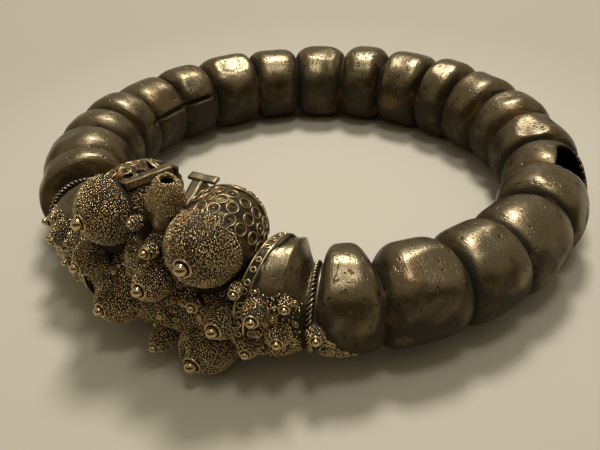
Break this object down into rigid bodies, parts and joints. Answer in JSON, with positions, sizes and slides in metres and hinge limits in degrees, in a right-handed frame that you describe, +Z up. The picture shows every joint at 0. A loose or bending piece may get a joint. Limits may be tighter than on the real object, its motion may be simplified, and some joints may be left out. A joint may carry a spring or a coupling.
{
  "type": "lobed silver bracelet with a boss-covered clasp",
  "caption": "Round bracelet of a lobed hollow silver tube, its clasp covered with granulated ball-tipped bosses, two large pods and ring-punched plates.",
  "frame": {"origin": "on the ground under the middle of the bracelet's box as it lies", "axes": "+Z up from the ground it lies on, -Y towards the clasp, +X to the clasp's right seen from outside"},
  "size_m": [0.092, 0.0958, 0.0264],
  "materials": {
    "tarnished_silver": "worn, warm grey-brown tarnished silver sheet, polished on the crests and dirty in the valleys",
    "granulated_silver": "silver covered with fine granules, bright on their tops, with brown tarnish and dirt between them"
  },
  "bodies": {
    "root": {"hoop": "tarnished_silver", "border_strip_right": "tarnished_silver", "border_strip_left": "tarnished_silver", "twisted_wire_right": "tarnished_silver", "twisted_wire_left": "tarnished_silver", "clasp_core": "granulated_silver", "pod_right": "granulated_silver", "pod_left": "granulated_silver", "open_cone": "granulated_silver", "ring_plate_right": "granulated_silver", "ring_plate_left": "granulated_silver", "boss_middle": "granulated_silver", "boss_left_upper": "granulated_silver", "boss_right_upper": "granulated_silver", "boss_left_lower": "granulated_silver", "boss_right_lower": "granulated_silver", "boss_bottom": "granulated_silver", "boss_right_a": "granulated_silver", "boss_right_b": "granulated_silver", "boss_right_c": "granulated_silver", "boss_right_d": "granulated_silver", "boss_right_e": "granulated_silver", "boss_right_f": "granulated_silver", "boss_left_a": "granulated_silver", "boss_left_b": "granulated_silver", "boss_left_c": "granulated_silver", "boss_left_d": "granulated_silver", "boss_left_e": "granulated_silver", "boss_knob_left": "granulated_silver", "boss_knob_middle": "granulated_silver", "boss_knob_front": "granulated_silver", "boss_knob_low": "granulated_silver", "boss_foot": "granulated_silver", "end_band_right": "granulated_silver", "end_band_left": "granulated_silver"}
  },
  "joints": []
}
